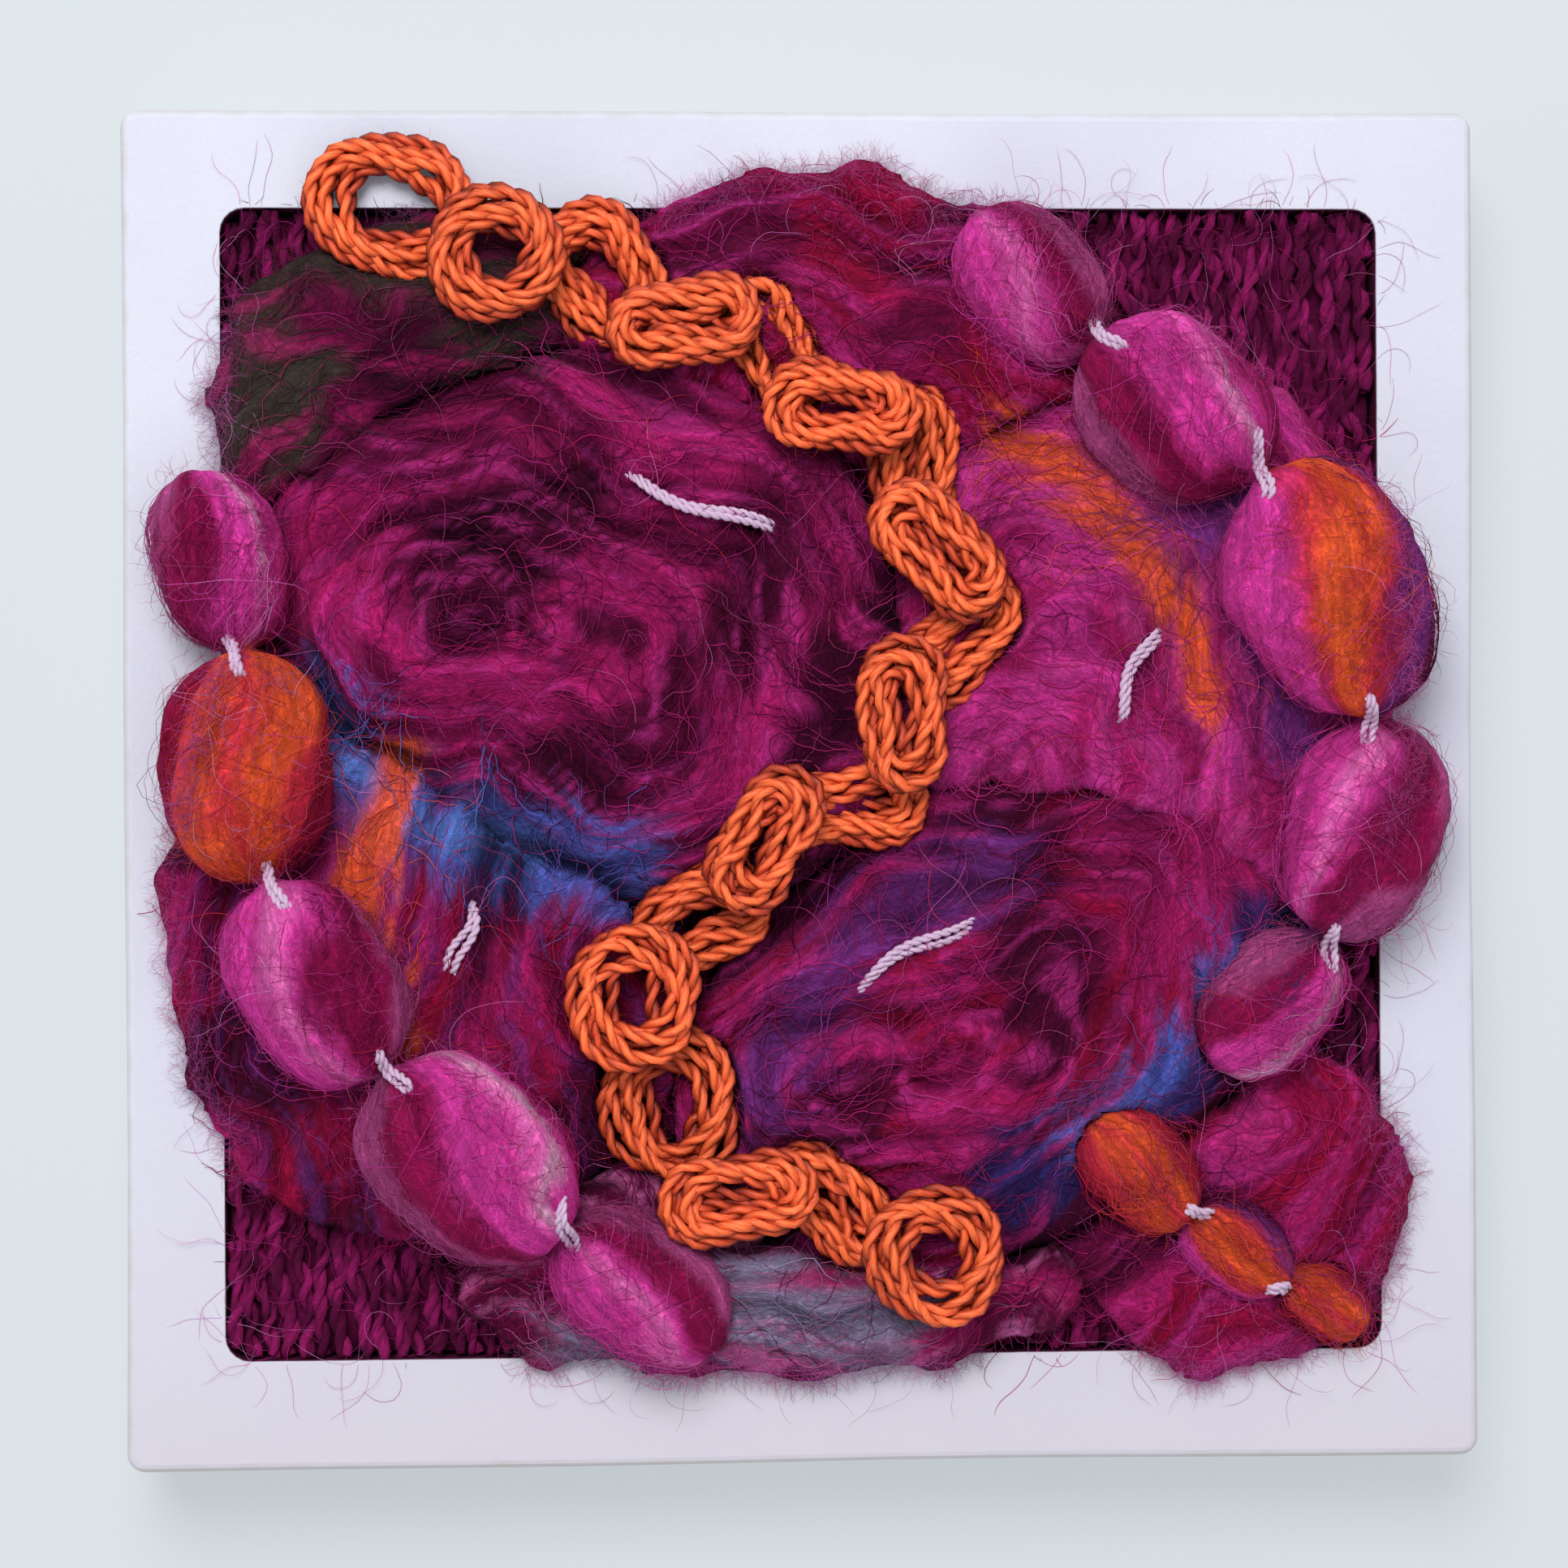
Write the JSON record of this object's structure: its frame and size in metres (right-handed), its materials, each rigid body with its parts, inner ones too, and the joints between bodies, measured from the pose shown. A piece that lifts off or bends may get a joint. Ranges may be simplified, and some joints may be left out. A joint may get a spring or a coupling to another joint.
{
  "type": "framed needle felt picture (textile picture and its frame)",
  "caption": "Small square white frame around a needle felt picture: soft wool mounds over ribbed cloth, slub yarn beads and a winding stream of orange thread loops.",
  "frame": {"origin": "middle of the frame's flat back, in the plane it rests on", "axes": "+Z out of the picture, +Y to the picture's top, +X to its right as it is seen face on"},
  "size_m": [0.1, 0.1, 0.0224],
  "materials": {
    "painted_frame": "matt white paint with a very fine grain",
    "ground_yarn": "ribbed rows of twisted plum and magenta wool yarn",
    "felted_wool": "needle-felted wool fibres in magenta, crimson, maroon, blue and charcoal, fuzzy",
    "slub_wool": "softly spun wool beads in magenta, pink, crimson and orange bands",
    "orange_thread": "satiny two-ply twisted cotton thread",
    "core_thread": "matt pale lilac two-ply thread"
  },
  "bodies": {
    "root": {"core_stitch_left": "core_thread", "core_stitch_lower": "core_thread", "core_stitch_right": "core_thread", "core_stitch_upper": "core_thread", "frame": "painted_frame", "ground_cloth": "ground_yarn", "slub_yarn_left": "slub_wool", "slub_yarn_low": "slub_wool", "slub_yarn_right": "slub_wool", "thread_loop_01": "orange_thread", "thread_loop_02": "orange_thread", "thread_loop_03": "orange_thread", "thread_loop_04": "orange_thread", "thread_loop_05": "orange_thread", "thread_loop_06": "orange_thread", "thread_loop_07": "orange_thread", "thread_loop_08": "orange_thread", "thread_loop_09": "orange_thread", "thread_loop_10": "orange_thread", "thread_loop_11": "orange_thread", "thread_loop_12": "orange_thread", "thread_loop_13": "orange_thread", "thread_loop_14": "orange_thread", "thread_loop_15": "orange_thread", "thread_loop_16": "orange_thread", "thread_loop_17": "orange_thread", "thread_loop_18": "orange_thread", "wool_dark_corner": "felted_wool", "wool_far_corner": "felted_wool", "wool_left_bank": "felted_wool", "wool_lower_edge": "felted_wool", "wool_lower_swirl": "felted_wool", "wool_right_bank": "felted_wool", "wool_top_edge": "felted_wool", "wool_upper_swirl": "felted_wool"}
  },
  "joints": []
}
